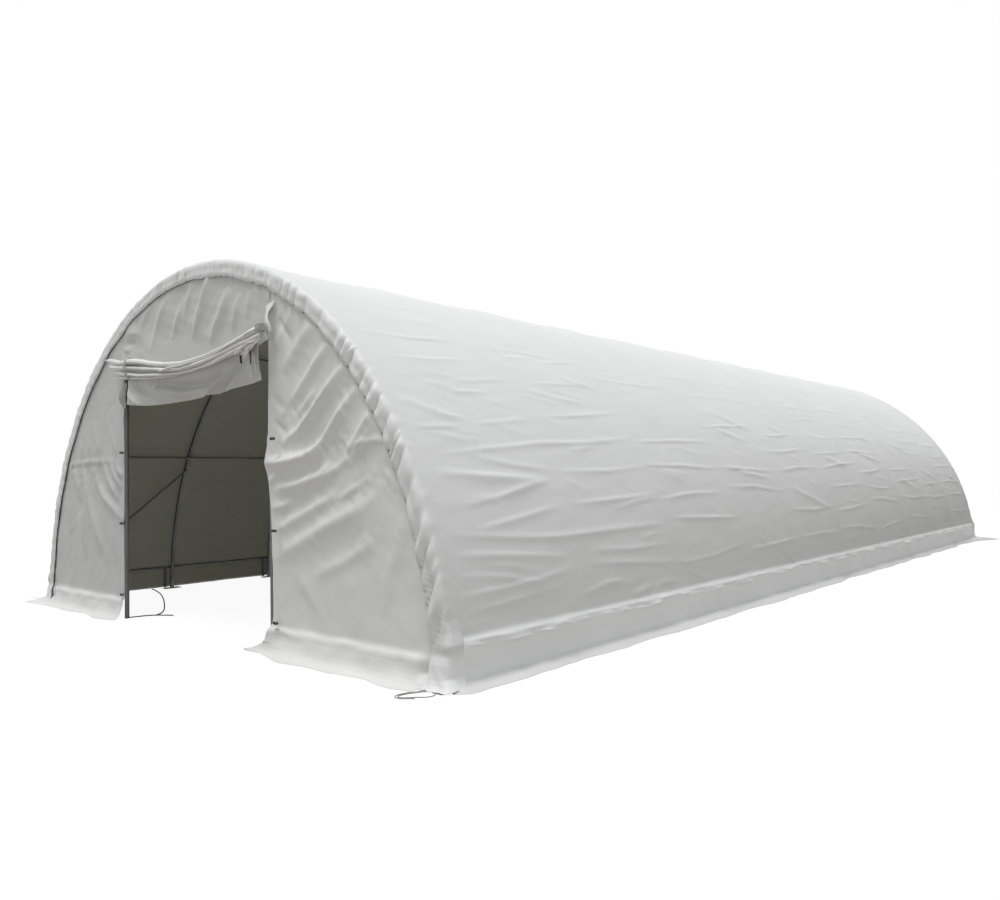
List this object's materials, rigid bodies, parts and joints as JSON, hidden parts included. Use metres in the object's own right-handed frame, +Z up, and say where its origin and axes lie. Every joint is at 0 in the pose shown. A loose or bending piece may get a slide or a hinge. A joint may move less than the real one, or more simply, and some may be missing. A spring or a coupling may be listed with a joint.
{
  "type": "fabric hay shelter",
  "caption": "Half-round fabric storage shelter on a steel hoop frame, open front doorway with rolled-up curtain, skirts on the ground all round.",
  "frame": {"origin": "middle of the footprint on the ground", "axes": "+Z up, +Y along the shelter towards its closed rear wall, the doorway faces -Y"},
  "size_m": [10.7334, 20.4398, 4.572],
  "materials": {
    "cover": "white woven polyethylene, coated, creased",
    "tube": "galvanised steel tube, dull grey",
    "plate": "galvanised flat steel",
    "webbing": "black webbing and cord",
    "rope": "grey laid rope, frayed at its end"
  },
  "bodies": {
    "root": {"front_hoop": "tube", "middle_hoops": "tube", "rear_hoop": "tube", "ridge_purlin": "tube", "left_purlins": "tube", "right_purlins": "tube", "front_braces": "tube", "rear_braces": "tube", "left_base_plates": "plate", "right_base_plates": "plate", "front_left_post": "tube", "front_right_post": "tube", "front_header": "tube", "rear_left_post": "tube", "rear_right_post": "tube", "rear_header": "tube", "left_cover_rail": "tube", "right_cover_rail": "tube", "left_tension_straps": "webbing", "right_tension_straps": "webbing", "main_cover": "cover", "left_skirt": "cover", "right_skirt": "cover", "front_hem": "cover", "rear_hem": "cover", "front_hem_rope": "webbing", "rear_hem_rope": "webbing", "front_left_wall": "cover", "front_right_wall": "cover", "front_top_wall": "cover", "rear_wall": "cover", "front_left_skirt": "cover", "front_right_skirt": "cover", "rear_skirt": "cover", "door_curtain_roll": "cover", "door_curtain_flap": "cover", "curtain_bands": "cover", "left_door_toggles": "webbing", "right_door_toggles": "webbing", "post_rope": "rope", "wall_rope": "rope", "corner_rope": "rope"}
  },
  "joints": []
}
